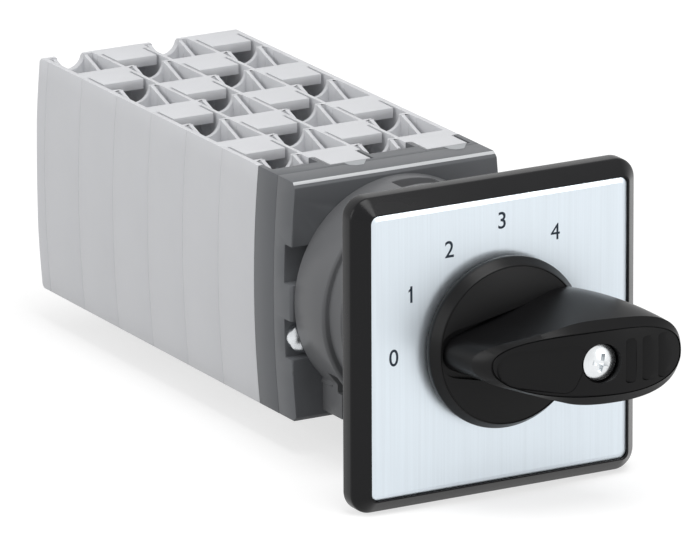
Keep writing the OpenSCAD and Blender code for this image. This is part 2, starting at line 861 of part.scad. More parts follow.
module tie_nuts() {
    color([0.82, 0.68, 0.4]) both_sides() difference() {
        bar_y(insert_r, back_y - insert_l, back_y - 0.3, tie_x, tie_z);
        bar_y(tie_r + slip, back_y - insert_l - 1, back_y, tie_x, tie_z);
    }
}

// Shaft and handle

module drive_shaft() {
    color([0.7, 0.71, 0.73]) along_y(carrier_y + slip, shaft_end_y) shaft_section();
}

module handle_carrier() {
    color([0.75, 0.75, 0.74]) difference() {
        union() {
            bar_y(carrier_r, carrier_y, carrier_y + carrier_t);
            bar_y(journal_r, carrier_y, journal_end_y);
        }
        along_y(carrier_y - 1, journal_end_y + 1) shaft_section(slip);
        bar_y(handle_screw_r - 0.2, carrier_y - 1, carrier_y + carrier_t + 1, handle_screw_x);
        turned() translate([journal_r + 0.3, seal_y]) circle(r = seal_r + slip);
    }
}

module shaft_seal() {
    color([0.1, 0.1, 0.1]) turned() intersection() {
        translate([journal_r + 0.3, seal_y]) circle(r = seal_r);
        translate([0, seal_y - 2 * seal_r]) square([journal_r + slip / 2, 4 * seal_r]);
    }
}

// Round bar across the handle whose front is the arched crown, lowered by drop
module crown_round(drop = 0) {
    translate([crown_x, crown_r - handle_d, -grip_reach])
        cylinder(r = crown_r - drop, h = 2 * grip_reach, $fn = 360);
}

// Outline of the crown from nose to tail, seen from the front: a long egg, blunter at its tail
module crown_outline(nose, tail, half_w, n = 80) {
    polygon([for (i = [0 : n - 1]) let (
            a = 360 * i / n,
            bluntness = cos(a) > 0 ? 0.8 : 0.87)
        [
            grip_belly + (cos(a) > 0 ? tail - grip_belly : -grip_belly - nose) * pow(abs(cos(a)), bluntness),
            half_w * sign(sin(a)) * pow(abs(sin(a)), bluntness)
        ]]);
}

// Outline with a small round nose at one end and a large round tail, joined by straight flanks
module drop_outline(nose_x, nose_r, end_x, end_r) {
    hull() {
        translate([nose_x + nose_r, 0]) circle(r = nose_r);
        translate([end_x, 0]) circle(r = end_r);
    }
}

// Grip, lofted from its drop-shaped root in the base to its egg-shaped crown
module grip() {
    root_y = disc_front_y + recess_d + handle_floor / 2 - root_edge;
    top_y = -handle_d - 1;
    root_nose = face_r - root_gap;
    // Share of the way from root to top at which the crown's arc meets the nose
    nose_share = (root_y - nose_y) / (root_y - top_y);
    top_nose = root_nose - (root_nose - pointer_reach) / nose_share;
    intersection() {
        hull() {
            along_y(root_y, root_y + root_edge) drop_outline(-root_nose, root_nose_r, root_end_x, root_end_r);
            along_y(top_y, top_y + eps) crown_outline(top_nose, grip_reach + tail_lean, grip_half_w);
        }
        crown_round();
    }
}

// Round base: a bevelled rim round a domed face, with the recess that the grip rises from
module handle_base() {
    face_y = disc_front_y + dome_h;
    difference() {
        turned() polygon(concat(
            [[0, disc_y], [disc_r - rim_taper, disc_y], [disc_r, disc_y - 2 * rim_taper]],
            [for (a = [0 : 15 : 90]) [disc_r - rim_w * (1 - cos(a)), face_y + rim_h * (1 - sin(a))]],
            [for (t = [0 : 0.1 : 1]) [face_r * (1 - t), face_y + seat - dome_h * (1 - pow(1 - t, 2))]]
        ));
        along_y(disc_front_y - 1, disc_front_y + recess_d) intersection() {
            drop_outline(-face_r, recess_nose_r, recess_end_x, recess_end_r);
            circle(r = face_r);
        }
    }
}

module handle() {
    in_front_y = -handle_d - 3;
    color([0.13, 0.13, 0.13]) difference() {
        union() {
            handle_base();
            grip();
        }
        // Pocket for the carrier
        bar_y(carrier_r + seat, carrier_y - seat, disc_y + 1);
        // Handle screw and its counterbore
        bar_y(handle_screw_r + seat, in_front_y, disc_y, handle_screw_x);
        bar_y(handle_head_r + bore_play, in_front_y, handle_head_y, handle_screw_x);
        // Border round the crown, a little lower than the face within it
        difference() {
            block([-disc_r, in_front_y, -disc_r], [disc_r + grip_reach, nose_y + 1, disc_r]);
            crown_round(border_drop);
            along_y(in_front_y - 1, nose_y + 2)
                crown_outline(pointer_reach - border_w, grip_reach - border_w / 3, grip_half_w - border_w);
        }
        // Thumb dimple under the pointer's nose
        translate([dimple_d - pointer_reach - dimple_r, nose_y + 0.3 * dimple_r, dimple_z])
            sphere(r = dimple_r);
        // Pointer panel, sunk into the crown
        difference() {
            along_y(in_front_y, nose_y)
                drop_outline(-panel_nose, panel_nose_r, panel_end - panel_end_r, panel_end_r);
            crown_round(face_drop);
        }
        // Grip grooves, each deep at its left edge and rising to the right
        for (i = [0 : groove_n - 1]) translate([groove_x + i * groove_pitch, -handle_d, -groove_h / 2])
            linear_extrude(height = groove_h)
                polygon([[0, -1], [0, groove_d], [groove_w, seat], [groove_w, -1]]);
    }
}

module handle_screw() {
    color([0.8, 0.82, 0.83]) {
        bar_y(handle_screw_r - 0.2, handle_head_y - eps, carrier_y + carrier_t - 0.3, handle_screw_x);
        translate([handle_screw_x, handle_head_y, 0]) rotate([90, 0, 0]) rotate_extrude() intersection() {
            square([handle_head_r, handle_head_t]);
            translate([0, handle_head_t - handle_head_dome]) circle(r = handle_head_dome);
        }
    }
}

bezel_frame();
legend_plate();
panel_gasket();
mounting_bush();
ring_nut();
collar_adapter();
adapter_screws();
latch_housing();
latch_cover();
tie_screws();
tie_nuts();
rear_cover();
fixed_contacts();
terminal_screws();
contact_springs();
detent_springs();
handle();
handle_screw();
handle_carrier();
shaft_seal();
drive_shaft();
detent_star();
detent_slider();  // detent_slider_right
rotate([0, 180, 0]) detent_slider();  // detent_slider_left
for (k = [1 : stages]) {
    wafer(k);
    cam(k);
    in_stage_side(k, -1) plunger_shape();
    in_stage_side(k, 1) plunger_shape();
    in_stage_side(k, -1) bridge_shape();
    in_stage_side(k, 1) bridge_shape();
}
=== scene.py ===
import json
import math

import bmesh
import bpy
import numpy as np
from mathutils import Matrix, Vector

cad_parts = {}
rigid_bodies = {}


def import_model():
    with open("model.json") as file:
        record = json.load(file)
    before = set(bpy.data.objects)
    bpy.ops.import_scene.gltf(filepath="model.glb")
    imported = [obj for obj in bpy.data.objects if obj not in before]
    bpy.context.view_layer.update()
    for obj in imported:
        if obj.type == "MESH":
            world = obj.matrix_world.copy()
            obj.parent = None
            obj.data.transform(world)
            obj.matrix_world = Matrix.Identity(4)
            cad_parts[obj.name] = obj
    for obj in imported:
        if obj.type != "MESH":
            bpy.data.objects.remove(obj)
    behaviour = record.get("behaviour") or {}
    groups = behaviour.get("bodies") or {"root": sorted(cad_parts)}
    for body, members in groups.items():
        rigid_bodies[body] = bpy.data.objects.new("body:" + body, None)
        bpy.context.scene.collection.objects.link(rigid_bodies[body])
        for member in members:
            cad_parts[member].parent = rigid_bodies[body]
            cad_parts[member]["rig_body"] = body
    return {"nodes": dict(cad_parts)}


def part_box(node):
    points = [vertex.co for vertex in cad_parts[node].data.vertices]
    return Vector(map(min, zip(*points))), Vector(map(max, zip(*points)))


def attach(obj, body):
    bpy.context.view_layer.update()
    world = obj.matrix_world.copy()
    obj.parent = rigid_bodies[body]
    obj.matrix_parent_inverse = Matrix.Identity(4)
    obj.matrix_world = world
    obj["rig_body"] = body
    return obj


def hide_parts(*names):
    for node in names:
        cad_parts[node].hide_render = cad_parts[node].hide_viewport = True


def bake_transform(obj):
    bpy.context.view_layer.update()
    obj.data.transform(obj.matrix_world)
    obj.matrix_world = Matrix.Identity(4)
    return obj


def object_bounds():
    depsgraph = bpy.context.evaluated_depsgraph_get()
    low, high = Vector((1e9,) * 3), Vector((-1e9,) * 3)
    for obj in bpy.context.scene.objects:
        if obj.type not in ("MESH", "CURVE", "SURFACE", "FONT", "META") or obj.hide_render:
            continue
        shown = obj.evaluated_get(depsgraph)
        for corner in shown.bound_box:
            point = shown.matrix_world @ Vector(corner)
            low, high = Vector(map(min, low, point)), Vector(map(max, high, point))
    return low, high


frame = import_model()
cad_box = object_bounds()
scene = bpy.context.scene
MM = 0.001

# Camera: the photograph's viewpoint, high on the left in front of the dial, through a long lens.
# Bearings are in degrees, the lens and its sensor in millimetres, the place in metres.
PHOTO_WIDTH = 690
FOCAL_PIXELS = 9916
SENSOR = 36
CAMERA_PLACE = (-0.8737, -1.5072, 0.5297)
bearing = math.radians(-29.264)
height_angle = math.radians(16.557)
roll = math.radians(-0.233)
right = Vector((math.cos(bearing), math.sin(bearing), 0))
ahead = Vector((
    -math.sin(bearing) * math.cos(height_angle),
    math.cos(bearing) * math.cos(height_angle),
    -math.sin(height_angle),
))
up = right.cross(ahead)
turned_right = right * math.cos(roll) + up * math.sin(roll)
turned_up = up * math.cos(roll) - right * math.sin(roll)
lens = bpy.data.cameras.new("camera")
lens.sensor_width = SENSOR
lens.lens = FOCAL_PIXELS / PHOTO_WIDTH * SENSOR
camera = bpy.data.objects.new("camera", lens)
turned = Matrix((turned_right, turned_up, -ahead)).transposed().to_4x4()
camera.matrix_world = Matrix.Translation(CAMERA_PLACE) @ turned
scene.collection.objects.link(camera)
scene.camera = camera

# Studio: a wide white table under a broad soft lamp from above, and weaker ones from the left and the
# front. The table is topped up to white for the eye and for reflections, and keeps the switch's
# shadow. Places and sizes are in metres here, and the lamps' power is in watts.
scene.view_settings.view_transform = "Standard"


def seen_directly(tree):
    """A value of 1 for what the camera sees, straight or in metal or glass, and 0 for other light."""
    path = tree.nodes.new("ShaderNodeLightPath")
    either = tree.nodes.new("ShaderNodeMath")
    either.operation = "MAXIMUM"
    tree.links.new(path.outputs["Is Camera Ray"], either.inputs[0])
    tree.links.new(path.outputs["Is Glossy Ray"], either.inputs[1])
    both = tree.nodes.new("ShaderNodeMath")
    both.operation = "MAXIMUM"
    tree.links.new(either.outputs[0], both.inputs[0])
    tree.links.new(path.outputs["Is Transmission Ray"], both.inputs[1])
    return both.outputs[0]


ROOM_LIGHT = 0.45
world = bpy.data.worlds.new("studio")
world.use_nodes = True
scene.world = world
tree = world.node_tree
level = tree.nodes.new("ShaderNodeMapRange")
level.inputs["To Min"].default_value = ROOM_LIGHT
level.inputs["To Max"].default_value = 1.0
tree.links.new(seen_directly(tree), level.inputs["Value"])
tree.links.new(level.outputs[0], tree.nodes["Background"].inputs["Strength"])
tree.nodes["Background"].inputs["Color"].default_value = (1, 1, 1, 1)
LAMP_AIM = Vector((0, 0.05, 0))


def lamp(name, place, size, power):
    """A square soft box that faces the switch."""
    light = bpy.data.lights.new(name, "AREA")
    light.size = size
    light.energy = power
    box = bpy.data.objects.new(name, light)
    box.location = place
    box.rotation_mode = "QUATERNION"
    box.rotation_quaternion = (LAMP_AIM - Vector(place)).to_track_quat("-Z", "Y")
    scene.collection.objects.link(box)


lamp("top_soft_box", place=(0.05, -0.3, 1.15), size=0.7, power=8.0)
lamp("left_soft_box", place=(-1.3, 0.15, 0.45), size=0.9, power=6.8)
lamp("front_soft_box", place=(0.62, -1.15, 0.16), size=0.35, power=1.9)

TABLE_SIZE = 8
TABLE_GREY = 0.42
WHITE_TOP_UP = 0.68
tabletop = bpy.data.materials.new("white_table")
tabletop.use_nodes = True
tree = tabletop.node_tree
skin = tree.nodes["Principled BSDF"]
skin.inputs["Base Color"].default_value = (TABLE_GREY, TABLE_GREY, TABLE_GREY, 1)
skin.inputs["Roughness"].default_value = 0.9
skin.inputs["Specular IOR Level"].default_value = 0
skin.inputs["Emission Color"].default_value = (1, 1, 1, 1)
level = tree.nodes.new("ShaderNodeMapRange")
level.inputs["To Max"].default_value = WHITE_TOP_UP
tree.links.new(seen_directly(tree), level.inputs["Value"])
tree.links.new(level.outputs[0], skin.inputs["Emission Strength"])
bm = bmesh.new()
bmesh.ops.create_grid(bm, x_segments=1, y_segments=1, size=TABLE_SIZE / 2)
bmesh.ops.translate(bm, verts=bm.verts, vec=(0, 0, cad_box[0].z))
mesh = bpy.data.meshes.new("table")
bm.to_mesh(mesh)
bm.free()
mesh.materials.append(tabletop)
table = bpy.data.objects.new("table", mesh)
scene.collection.objects.link(table)

# Contact stages: six wafers and the rear cover, moulded in light grey plastic with dividers, fins and
# finger guards over the terminals, and clamped in a stack. Their edges are rounded by the mould.
# From here on sizes are in millimetres, and angles in degrees.
NOISE_RANGE = (0.3, 0.7)
FLOW_SCALE = 90
PLASTIC_UNEVENNESS = 0.05
GRAIN_SCALE = 3500
GRAIN_DEPTH = 0.02
MERGE_DISTANCE = 0.001
FLAT_ANGLE = 0.3


def srgb(red, green, blue):
    """Linear colour for a colour as it shows on a screen, 0 to 255."""
    steps = [value / 255 for value in (red, green, blue)]
    return [step / 12.92 if step <= 0.04045 else ((step + 0.055) / 1.055) ** 2.4 for step in steps]


def mix_noise(tree, centre, spread, scale, stretch=(1, 1, 1), detail=3.0):
    """A noise pattern on the piece's own coordinates that blends between two shades of a colour."""
    place = tree.nodes.new("ShaderNodeTexCoord")
    turn = tree.nodes.new("ShaderNodeMapping")
    turn.inputs["Scale"].default_value = stretch
    noise = tree.nodes.new("ShaderNodeTexNoise")
    noise.inputs["Scale"].default_value = scale
    noise.inputs["Detail"].default_value = detail
    ramp = tree.nodes.new("ShaderNodeValToRGB")
    for stop, position, share in zip(ramp.color_ramp.elements, NOISE_RANGE, (1 - spread, 1 + spread)):
        stop.position = position
        stop.color = (*[min(1, value * share) for value in centre], 1)
    tree.links.new(place.outputs["Object"], turn.inputs["Vector"])
    tree.links.new(turn.outputs["Vector"], noise.inputs["Vector"])
    tree.links.new(noise.outputs["Fac"], ramp.inputs["Fac"])
    return noise, ramp


def vary_gloss(tree, pattern, roughness, spread):
    """Lets the roughness follow a pattern, by a spread to both sides."""
    rough = tree.nodes.new("ShaderNodeMapRange")
    rough.inputs["To Min"].default_value = roughness - spread
    rough.inputs["To Max"].default_value = roughness + spread
    tree.links.new(pattern.outputs["Fac"], rough.inputs["Value"])
    tree.links.new(rough.outputs[0], tree.nodes["Principled BSDF"].inputs["Roughness"])


def add_relief(tree, pattern, strength, depth):
    """Fine bumps that follow a pattern."""
    bump = tree.nodes.new("ShaderNodeBump")
    bump.inputs["Strength"].default_value = strength
    bump.inputs["Distance"].default_value = depth * MM
    tree.links.new(pattern.outputs["Fac"], bump.inputs["Height"])
    tree.links.new(bump.outputs["Normal"], tree.nodes["Principled BSDF"].inputs["Normal"])


def moulded(name, colour, roughness, grain, sheen_level, mottle=0.03):
    """Moulded plastic: a spark-eroded grain, a faint mottle from the flow, and uneven gloss."""
    finish = bpy.data.materials.new(name)
    finish.use_nodes = True
    tree = finish.node_tree
    skin = tree.nodes["Principled BSDF"]
    skin.inputs["Specular IOR Level"].default_value = sheen_level
    flow, shades = mix_noise(tree, colour, mottle, FLOW_SCALE)
    tree.links.new(shades.outputs["Color"], skin.inputs["Base Color"])
    vary_gloss(tree, flow, roughness, PLASTIC_UNEVENNESS)
    place = tree.nodes.new("ShaderNodeTexCoord")
    pits = tree.nodes.new("ShaderNodeTexNoise")
    pits.inputs["Scale"].default_value = GRAIN_SCALE
    pits.inputs["Detail"].default_value = 2
    tree.links.new(place.outputs["Object"], pits.inputs["Vector"])
    add_relief(tree, pits, grain, GRAIN_DEPTH)
    return finish


def make_piece(bm, name, body, finish, sharp=28):
    """Turns a mesh in metres into a piece of the switch, smooth except over its sharp edges."""
    for face in bm.faces:
        face.smooth = True
    for edge in bm.edges:
        edge.smooth = len(edge.link_faces) == 2 and edge.calc_face_angle() < math.radians(sharp)
    mesh = bpy.data.meshes.new(name)
    bm.to_mesh(mesh)
    bm.free()
    mesh.materials.append(finish)
    piece = bpy.data.objects.new(name, mesh)
    scene.collection.objects.link(piece)
    if body:
        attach(piece, body)
    return piece


def body_of(node):
    """The rigid body that a node belongs to."""
    return frame["nodes"][node]["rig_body"]


def cad_copy(node):
    """The node's own shape as clean faces, ready for its edges to be rounded."""
    bm = bmesh.new()
    bm.from_mesh(frame["nodes"][node].data)
    bmesh.ops.remove_doubles(bm, verts=bm.verts, dist=MERGE_DISTANCE * MM)
    bmesh.ops.dissolve_limit(
        bm, angle_limit=math.radians(FLAT_ANGLE), verts=bm.verts, edges=bm.edges)
    bmesh.ops.triangulate(bm, faces=bm.faces, quad_method="BEAUTY", ngon_method="EAR_CLIP")
    return bm


def round_edges(bm, width, segments=2, angle=35, chosen=lambda edge: True):
    """Rounds the sharp edges that are chosen, by a width."""
    sharp = [
        edge for edge in bm.edges
        if len(edge.link_faces) == 2 and edge.calc_face_angle() > math.radians(angle) and chosen(edge)
    ]
    bmesh.ops.bevel(
        bm, geom=sharp, offset=width * MM, offset_type="OFFSET", segments=segments, profile=0.5,
        affect="EDGES", clamp_overlap=False, material=-1)


def dressed(node, finish, width, segments=2):
    """A copy of a node with rounded edges, which stands for the node."""
    bm = cad_copy(node)
    round_edges(bm, width, segments)
    piece = make_piece(bm, node + "_dressed", body_of(node), finish)
    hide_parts(node)
    return piece


LIGHT_GREY = srgb(210, 211, 214)
MOULD_ROUNDING = 0.12
STAGES = range(1, 7)
stage_plastic = moulded(
    "light_grey_plastic", LIGHT_GREY, roughness=0.5, grain=0.25, sheen_level=0.35, mottle=0.015)
for number in STAGES:
    dressed(f"wafer_{number}", stage_plastic, MOULD_ROUNDING)
dressed("rear_cover", stage_plastic, MOULD_ROUNDING)

# Fixed contacts: brass strips stamped and bent over, each with a rivet inside and a terminal plate
# outside. The moving bridges between them are copper.
SCRATCH_STRENGTH = 0.15
SCRATCH_DEPTH = 0.01


def metal(name, colour, roughness, scale, stretch=(1, 1, 1), spread=0.06, detail=3.0, unevenness=0.07):
    """Bare or plated metal, with marks along the way that it was drawn, rolled or turned."""
    finish = bpy.data.materials.new(name)
    finish.use_nodes = True
    tree = finish.node_tree
    skin = tree.nodes["Principled BSDF"]
    skin.inputs["Metallic"].default_value = 1
    marks, shades = mix_noise(tree, colour, spread, scale, stretch, detail)
    tree.links.new(shades.outputs["Color"], skin.inputs["Base Color"])
    vary_gloss(tree, marks, roughness, unevenness)
    add_relief(tree, marks, SCRATCH_STRENGTH, SCRATCH_DEPTH)
    return finish


BRASS_YELLOW = srgb(206, 170, 98)
COPPER_RED = srgb(205, 128, 88)
STAMPED_ROUNDING = 0.08
brass = metal("rolled_brass", BRASS_YELLOW, roughness=0.32, scale=900, stretch=(1, 0.1, 1))
copper = metal("rolled_copper", COPPER_RED, roughness=0.3, scale=900, stretch=(1, 1, 0.1))
dressed("fixed_contacts", brass, STAMPED_ROUNDING, segments=1)
for number in STAGES:
    for side in ("left", "right"):
        dressed(f"bridge_{number}_{side}", copper, STAMPED_ROUNDING, segments=1)

# Terminal screws: zinc-plated, with a low domed head and a cross recess, over a stamped saddle that
# clamps the wire on the terminal plate. One screw is made and repeated at each terminal.
AXIS_R = 0.01
TURNED_MERGE = 0.0005
CUT_PAST = 1
HEAD_EDGE_SHARE = 0.62
HEAD_CHAMFER = 0.12
HEAD_DOME_POINTS = 9
HEAD_STEPS = 48
WING_END_LENGTH = 0.35
WING_END_WIDTH = 0.6


def as_tool(bm, name):
    """A plain object of a mesh, for joining or cutting."""
    bmesh.ops.recalc_face_normals(bm, faces=bm.faces)
    mesh = bpy.data.meshes.new(name)
    bm.to_mesh(mesh)
    bm.free()
    tool = bpy.data.objects.new(name, mesh)
    scene.collection.objects.link(tool)
    return tool


def finished_mesh(thing):
    """The mesh that an object comes to, with its modifiers or out of its writing."""
    settled = thing.evaluated_get(bpy.context.evaluated_depsgraph_get())
    return bpy.data.meshes.new_from_object(settled)


def combine(work, tool, operation):
    """Joins a second body to the first, or cuts it away, and clears it up."""
    step = work.modifiers.new("combine", "BOOLEAN")
    step.operation = operation
    step.solver = "EXACT"
    step.object = tool
    work.data = finished_mesh(work)
    work.modifiers.clear()
    bpy.data.objects.remove(tool)


def spun(bm, profile, steps=128):
    """Turns a closed profile of radius and depth round the Y axis."""
    verts = [bm.verts.new((radius * MM, y * MM, 0)) for radius, y in profile]
    edges = [bm.edges.new(pair) for pair in zip(verts, verts[1:] + verts[:1])]
    bmesh.ops.spin(
        bm, geom=verts + edges, cent=(0, 0, 0), axis=(0, 1, 0), angle=2 * math.pi, steps=steps,
        use_merge=True)
    bmesh.ops.remove_doubles(bm, verts=bm.verts, dist=TURNED_MERGE * MM)
    bmesh.ops.recalc_face_normals(bm, faces=bm.faces)


def box_mesh(low, high):
    """A box between two corners."""
    bm = bmesh.new()
    size = Vector(high) - Vector(low)
    middle = (Vector(high) + Vector(low)) / 2
    bmesh.ops.create_cube(
        bm, size=1, matrix=Matrix.Translation(middle * MM) @ Matrix.Diagonal((*(size * MM), 1)))
    return bm


def cross_head(head_r, head_t, cross_reach, cross_w, cross_d, turn):
    """A screw head that faces -Y over a seat at the origin: a dome on a short edge, with a cross in it."""
    edge_t = HEAD_EDGE_SHARE * head_t
    rise = head_t - edge_t
    dome_r = (head_r ** 2 + rise ** 2) / (2 * rise)
    arc = [
        (r, dome_r - head_t - math.sqrt(dome_r ** 2 - r ** 2))
        for r in np.linspace(head_r, AXIS_R, HEAD_DOME_POINTS)
    ]
    bm = bmesh.new()
    seat = [(AXIS_R, 0), (head_r - HEAD_CHAMFER, 0), (head_r, -HEAD_CHAMFER)]
    spun(bm, seat + arc, HEAD_STEPS)
    head = as_tool(bm, "head")
    for angle in (0, 90):
        wing = box_mesh(
            (-cross_reach, -head_t - CUT_PAST, -cross_w / 2),
            (cross_reach, cross_d - head_t, cross_w / 2))
        for vert in wing.verts:
            if vert.co.y > -head_t * MM:
                vert.co.x *= WING_END_LENGTH
                vert.co.z *= WING_END_WIDTH
        bmesh.ops.rotate(
            wing, verts=wing.verts, matrix=Matrix.Rotation(math.radians(angle + turn), 3, "Y"))
        combine(head, as_tool(wing, "wing"), "DIFFERENCE")
    return head


def solids_of(node):
    """The lowest and highest corners of each separate solid in a node, from front to back."""
    bm = cad_copy(node)
    left = set(bm.verts)
    corners = []
    while left:
        waiting = [left.pop()]
        found = list(waiting)
        while waiting:
            for edge in waiting.pop().link_edges:
                for vert in edge.verts:
                    if vert in left:
                        left.remove(vert)
                        waiting.append(vert)
                        found.append(vert)
        places = np.array([vert.co for vert in found])
        corners.append((Vector(places.min(axis=0)), Vector(places.max(axis=0))))
    bm.free()
    return sorted(
        corners, key=lambda pair: [round(value, 6) for value in (pair[0].y, pair[0].x, pair[0].z)])


ZINC_WHITE = srgb(214, 217, 220)
SADDLE_T = 0.8
SADDLE_ROUNDING = 0.2
zinc = metal("bright_zinc_plating", ZINC_WHITE, roughness=0.24, scale=700)
terminals = solids_of("terminal_screws")
head = cross_head(head_r=2.6, head_t=2, cross_reach=1.7, cross_w=0.7, cross_d=1.1, turn=45)
bm = bmesh.new()
for low, high in terminals:
    on_top = low.z > 0
    middle = (low + high) / 2
    seat = low.z if on_top else -high.z
    start = len(bm.verts)
    bm.from_mesh(head.data)
    bm.verts.ensure_lookup_table()
    turn_over = Matrix.Rotation(math.radians(0 if on_top else 180), 4, "Y")
    move = Matrix.Translation((middle.x if on_top else -middle.x, middle.y, seat + SADDLE_T * MM))
    stand_up = Matrix.Rotation(math.radians(-90), 4, "X")
    bmesh.ops.transform(bm, verts=bm.verts[start:], matrix=turn_over @ move @ stand_up)
    plate_low = Vector((low.x, low.y, low.z if on_top else high.z - SADDLE_T * MM))
    plate_high = Vector((high.x, high.y, low.z + SADDLE_T * MM if on_top else high.z))
    saddle = box_mesh(plate_low / MM, plate_high / MM)
    round_edges(saddle, SADDLE_ROUNDING)
    mesh = bpy.data.meshes.new("saddle")
    saddle.to_mesh(mesh)
    saddle.free()
    bm.from_mesh(mesh)
bpy.data.objects.remove(head)
screws = make_piece(bm, "terminal_screws_dressed", "base", zinc, sharp=32)
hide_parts("terminal_screws")

# Cams and plungers: each red cam lets two ivory plungers in and out, which carry the bridges.
# The plungers slide between ribs in the wafers.
CAM_RED = srgb(190, 46, 38)
IVORY = srgb(232, 229, 214)
CAM_ROUNDING = 0.15
cam_plastic = moulded("red_cam_plastic", CAM_RED, roughness=0.38, grain=0.1, sheen_level=0.4)
ivory_plastic = moulded("ivory_plastic", IVORY, roughness=0.4, grain=0.1, sheen_level=0.4)
for number in STAGES:
    dressed(f"cam_{number}", cam_plastic, CAM_ROUNDING)
    for side in ("left", "right"):
        dressed(f"plunger_{number}_{side}", ivory_plastic, MOULD_ROUNDING)

# Springs: coils of round spring wire, one behind each plunger and each detent slider.
SPRING_GREY = srgb(170, 173, 178)
SPRING_WIRE_R = 0.3
SPRING_TURNS = 4.5
STEPS_PER_TURN = 20
spring_steel = metal("spring_steel", SPRING_GREY, roughness=0.28, scale=1200)


def coil(low, high, name):
    """A coil spring along X in the room of the plain one."""
    bm = bmesh.new()
    middle = (low + high) / 2
    coil_r = (high.z - low.z) / 2 - SPRING_WIRE_R * MM
    steps = round(SPRING_TURNS * STEPS_PER_TURN)
    start = Vector((low.x + SPRING_WIRE_R * MM, middle.y, middle.z + coil_r))
    bmesh.ops.create_circle(
        bm, cap_ends=True, segments=8, radius=SPRING_WIRE_R * MM,
        matrix=Matrix.Translation(start) @ Matrix.Rotation(math.radians(90), 4, "X"))
    rise = (high.x - low.x - 2 * SPRING_WIRE_R * MM) / steps
    bmesh.ops.spin(
        bm, geom=bm.verts[:] + bm.edges[:] + bm.faces[:], cent=middle, axis=(1, 0, 0),
        dvec=(rise, 0, 0), angle=2 * math.pi * SPRING_TURNS, steps=steps, use_merge=False)
    bmesh.ops.recalc_face_normals(bm, faces=bm.faces)
    piece = make_piece(bm, name, None, spring_steel)
    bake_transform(piece)
    return piece


for index, (low, high) in enumerate(solids_of("contact_springs")):
    side = "right" if low.x > 0 else "left"
    number = index // 2 + 1
    spring = coil(low, high, f"contact_spring_{number}_{side}")
    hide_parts("contact_springs")
for low, high in solids_of("detent_springs"):
    side = "right" if low.x > 0 else "left"
    spring = coil(low, high, "detent_spring_" + side)
    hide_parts("detent_springs")

# Latch housing and its cover: two halves in dark grey plastic that hold the star wheel. A painted
# highlight in light grey lies along the upper front chamfer. Two light marks show where the first
# terminals are.
LATCH_GREY = srgb(103, 105, 108)
PAINTED_HIGHLIGHT_GREY = srgb(208, 210, 212)
LATCH_ROUNDING = 0.15
HIGHLIGHT_BAND_W = 0.5
HIGHLIGHT_BAND_DEPTH = 1
HIGHLIGHT_LEAN = 0.3
latch_plastic = moulded("dark_grey_plastic", LATCH_GREY, roughness=0.42, grain=0.25, sheen_level=0.15)
# A light grey finish that paints a highlight onto the upper front chamfer.
painted_highlight_plastic = moulded(
    "painted_edge_highlight", PAINTED_HIGHLIGHT_GREY, roughness=0.45, grain=0.2, sheen_level=0.3, mottle=0.015)
low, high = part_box("latch_housing")
bm = cad_copy("latch_housing")
round_edges(bm, LATCH_ROUNDING)
bmesh.ops.bisect_plane(
    bm, geom=bm.verts[:] + bm.edges[:] + bm.faces[:], dist=MERGE_DISTANCE * MM,
    plane_co=(0, 0, high.z - HIGHLIGHT_BAND_W * MM), plane_no=(0, 0, 1))
housing = make_piece(bm, "latch_housing_dressed", "base", latch_plastic)
housing.data.materials.append(painted_highlight_plastic)
# The faces of the upper front chamfer take the light grey finish, which is a painted highlight.
for face in housing.data.polygons:
    at_front = face.center.y < low.y + HIGHLIGHT_BAND_DEPTH * MM
    at_top = face.center.z > high.z - HIGHLIGHT_BAND_W * MM
    if at_front and at_top and face.normal.y < -HIGHLIGHT_LEAN and face.normal.z > HIGHLIGHT_LEAN:
        face.material_index = 1
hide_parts("latch_housing")
dressed("latch_cover", latch_plastic, MOULD_ROUNDING)


def plate_mesh(bm, corners, height):
    """Makes a flat plate from its corners, with a height along Z, all in metres."""
    face = bm.faces.new([bm.verts.new(corner) for corner in corners])
    raised = bmesh.ops.extrude_face_region(bm, geom=[face])["geom"]
    top = [part for part in raised if isinstance(part, bmesh.types.BMVert)]
    bmesh.ops.translate(bm, vec=(0, 0, height), verts=top)


MARK_GREY = srgb(164, 167, 170)
MARK_T = 0.04
MARK_X = (-6.9, 14.6)
MARK_CORNERS = ((0, 40.1), (4.8, 40.0), (2.8, 37.3), (1.1, 37.35), (0.2, 38.3))
mark_plastic = moulded(
    "mid_grey_plastic", MARK_GREY, roughness=0.45, grain=0.2, sheen_level=0.2, mottle=0.015)
body_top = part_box("wafer_1")[1].z
bm = bmesh.new()
for mark_x in MARK_X:
    plate_mesh(bm, [((mark_x + x) * MM, y * MM, body_top) for x, y in MARK_CORNERS], MARK_T * MM)
bmesh.ops.recalc_face_normals(bm, faces=bm.faces)
make_piece(bm, "terminal_marks", "base", mark_plastic)

# Detent: an ivory star wheel on the shaft, and two sliders that drop into its valleys.
# Their springs push them in, so that the handle rests at each of its five positions.
STAR_ROUNDING = 0.15
dressed("detent_star", ivory_plastic, STAR_ROUNDING)
dressed("detent_slider_left", ivory_plastic, MOULD_ROUNDING)
dressed("detent_slider_right", ivory_plastic, MOULD_ROUNDING)

# Tie screws: two long zinc-plated screws that clamp latch and stages, with brass nuts in the rear
# cover. Their domed heads lie in the front notches of the latch.
TIE_HEAD_T = 2.4
SHANK_R = 1.5
SHANK_STEPS = 32
OVERLAP = 0.01


def add_shank(head, length, tip_length, tip_r):
    """Joins a shank that ends in a cone to the back of a screw head."""
    shank = bmesh.new()
    spun(shank, [
        (AXIS_R, -OVERLAP), (SHANK_R, -OVERLAP), (SHANK_R, length - tip_length), (tip_r, length),
        (AXIS_R, length)], SHANK_STEPS)
    combine(head, as_tool(shank, "shank"), "UNION")


